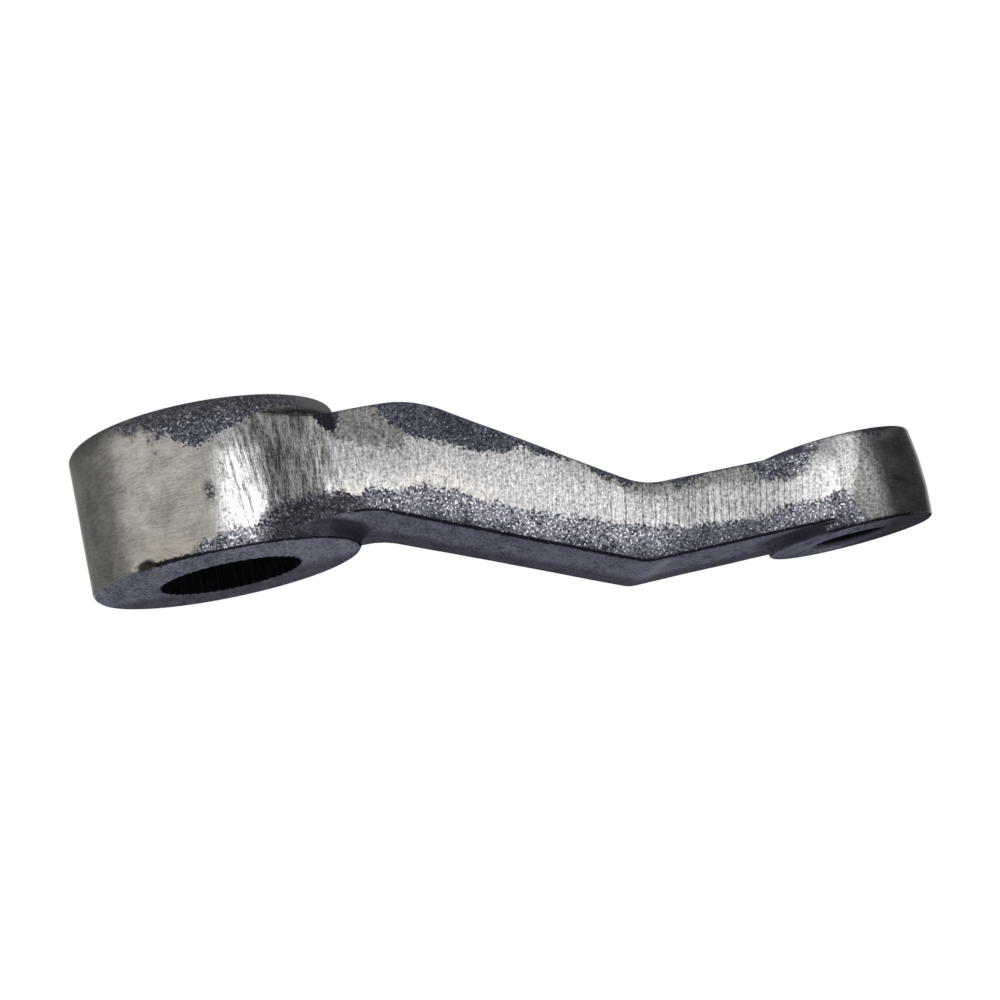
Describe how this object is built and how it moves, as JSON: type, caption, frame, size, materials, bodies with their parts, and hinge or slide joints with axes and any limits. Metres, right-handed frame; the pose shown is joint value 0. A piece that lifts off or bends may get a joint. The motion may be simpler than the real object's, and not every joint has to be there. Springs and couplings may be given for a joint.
{
  "type": "pitman arm",
  "caption": "Drop pitman arm: a one-piece forged steel steering lever with a large serrated hub, a cranked tapering arm and a small eye for a tapered ball stud.",
  "frame": {"origin": "on the serrated bore's axis, in the plane of the hub's lower face, where the nut and washer seat", "axes": "+Z along the bore towards the steering gear, +X from the hub's axis to the eye's axis, so XZ is the plane of symmetry"},
  "size_m": [0.1833, 0.0596, 0.0542],
  "materials": {
    "forged_steel": "bare forged steel: shot-blasted dark grey faces, a bright ground band along the trimmed parting line"
  },
  "bodies": {
    "root": {"pitman_arm": "forged_steel"}
  },
  "joints": []
}
